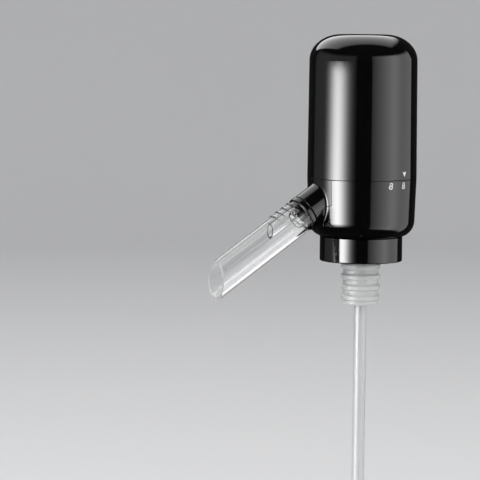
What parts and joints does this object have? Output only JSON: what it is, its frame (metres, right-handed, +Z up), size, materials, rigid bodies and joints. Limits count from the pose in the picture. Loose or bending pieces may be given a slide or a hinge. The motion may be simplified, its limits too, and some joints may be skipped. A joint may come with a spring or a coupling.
{
  "type": "wine preservation dispenser",
  "caption": "Battery wine dispenser that plugs into a bottle neck: press-top pump head, twist-off cover, collar, ribbed stopper, straw and clear sloping spout.",
  "frame": {"origin": "on the bottle's axis, at the collar's lower edge, inside the length of the stopper's ribs", "axes": "+Z up along the bottle's axis, the spout points to -X and 33 degrees down"},
  "size_m": [0.1036, 0.052, 0.3375],
  "materials": {
    "gloss_black": "polished",
    "clear_plastic": "clear, polished",
    "straw_plastic": "clear, slightly cloudy",
    "silicone": "satin",
    "black_rubber": "matt",
    "black_plastic": "fine spark texture",
    "white_plastic": "satin",
    "red_plastic": "satin",
    "spring_steel": "bright",
    "nickel": "nickel plated",
    "zinc_steel": "zinc plated",
    "motor_steel": "satin",
    "lead_wire": "soft vinyl",
    "cell_sleeve": "shrink sleeve",
    "board_green": "solder resist"
  },
  "bodies": {
    "head": {"lower_housing": "gloss_black", "spout_bezel": "gloss_black", "collar_ring": "gloss_black", "lip_gasket": "silicone", "housing_screws": "zinc_steel", "bottle_stopper": "silicone", "wine_manifold": "white_plastic", "air_hose_lower": "silicone", "check_valve": "white_plastic", "air_hose_upper": "silicone", "battery_holder": "black_plastic", "battery_cell_1": "cell_sleeve", "battery_cell_2": "cell_sleeve", "battery_cell_3": "cell_sleeve", "battery_cell_4": "cell_sleeve", "battery_cell_5": "cell_sleeve", "battery_cell_6": "cell_sleeve", "contact_springs": "nickel", "contact_plates": "nickel", "contact_carrier": "black_plastic", "switch_board": "board_green", "push_switch": "black_plastic", "motor_can": "motor_steel", "motor_end_cap": "white_plastic", "motor_damper": "black_rubber", "carrier_screws": "zinc_steel", "motor_leads": "lead_wire", "pump_frame": "white_plastic", "swing_plate": "white_plastic", "diaphragm": "black_rubber", "valve_plate": "white_plastic", "pump_cap": "white_plastic", "pump_screws": "zinc_steel"},
    "cover": {"top_cover": "gloss_black", "button_spring": "spring_steel"},
    "button": {"button_cap": "gloss_black", "button_clip": "spring_steel"},
    "plunger": {"switch_plunger": "red_plastic"},
    "rotor": {"motor_shaft": "motor_steel", "eccentric_wheel": "white_plastic"},
    "spout": {"spout_tube": "clear_plastic", "inner_nozzle": "clear_plastic", "spout_ring": "gloss_black", "spout_oring": "black_rubber"},
    "straw": {"dip_tube": "straw_plastic"}
  },
  "joints": [
    {"name": "cover_twist", "type": "hinge", "parent": "head", "child": "cover", "pos_m": [0, 0, 0.0395], "axis": [0, 0, 1], "range_deg": [-17.5, 0]},
    {"name": "button_press", "type": "slide", "parent": "cover", "child": "button", "axis": [0, 0, -1], "range_m": [0, 0.0012], "stiffness_N_per_m": 600, "springref_m": -0.0015, "deforming": ["button_spring"]},
    {"name": "plunger_press", "type": "slide", "parent": "head", "child": "plunger", "axis": [0, 0, -1], "range_m": [0, 0.0012]},
    {"name": "pump_spin", "type": "hinge", "parent": "head", "child": "rotor", "pos_m": [0, 0, 0.06], "axis": [0, 0, 1], "continuous": true},
    {"name": "spout_pull", "type": "slide", "parent": "head", "child": "spout", "axis": [-0.8387, 0, -0.5446], "range_m": [0, 0.007]},
    {"name": "straw_pull", "type": "slide", "parent": "head", "child": "straw", "axis": [0, 0, -1], "range_m": [0, 0.011]}
  ],
  "couplings": [
    {"joint": "plunger_press", "follows": "button_press", "ratio": 1}
  ]
}
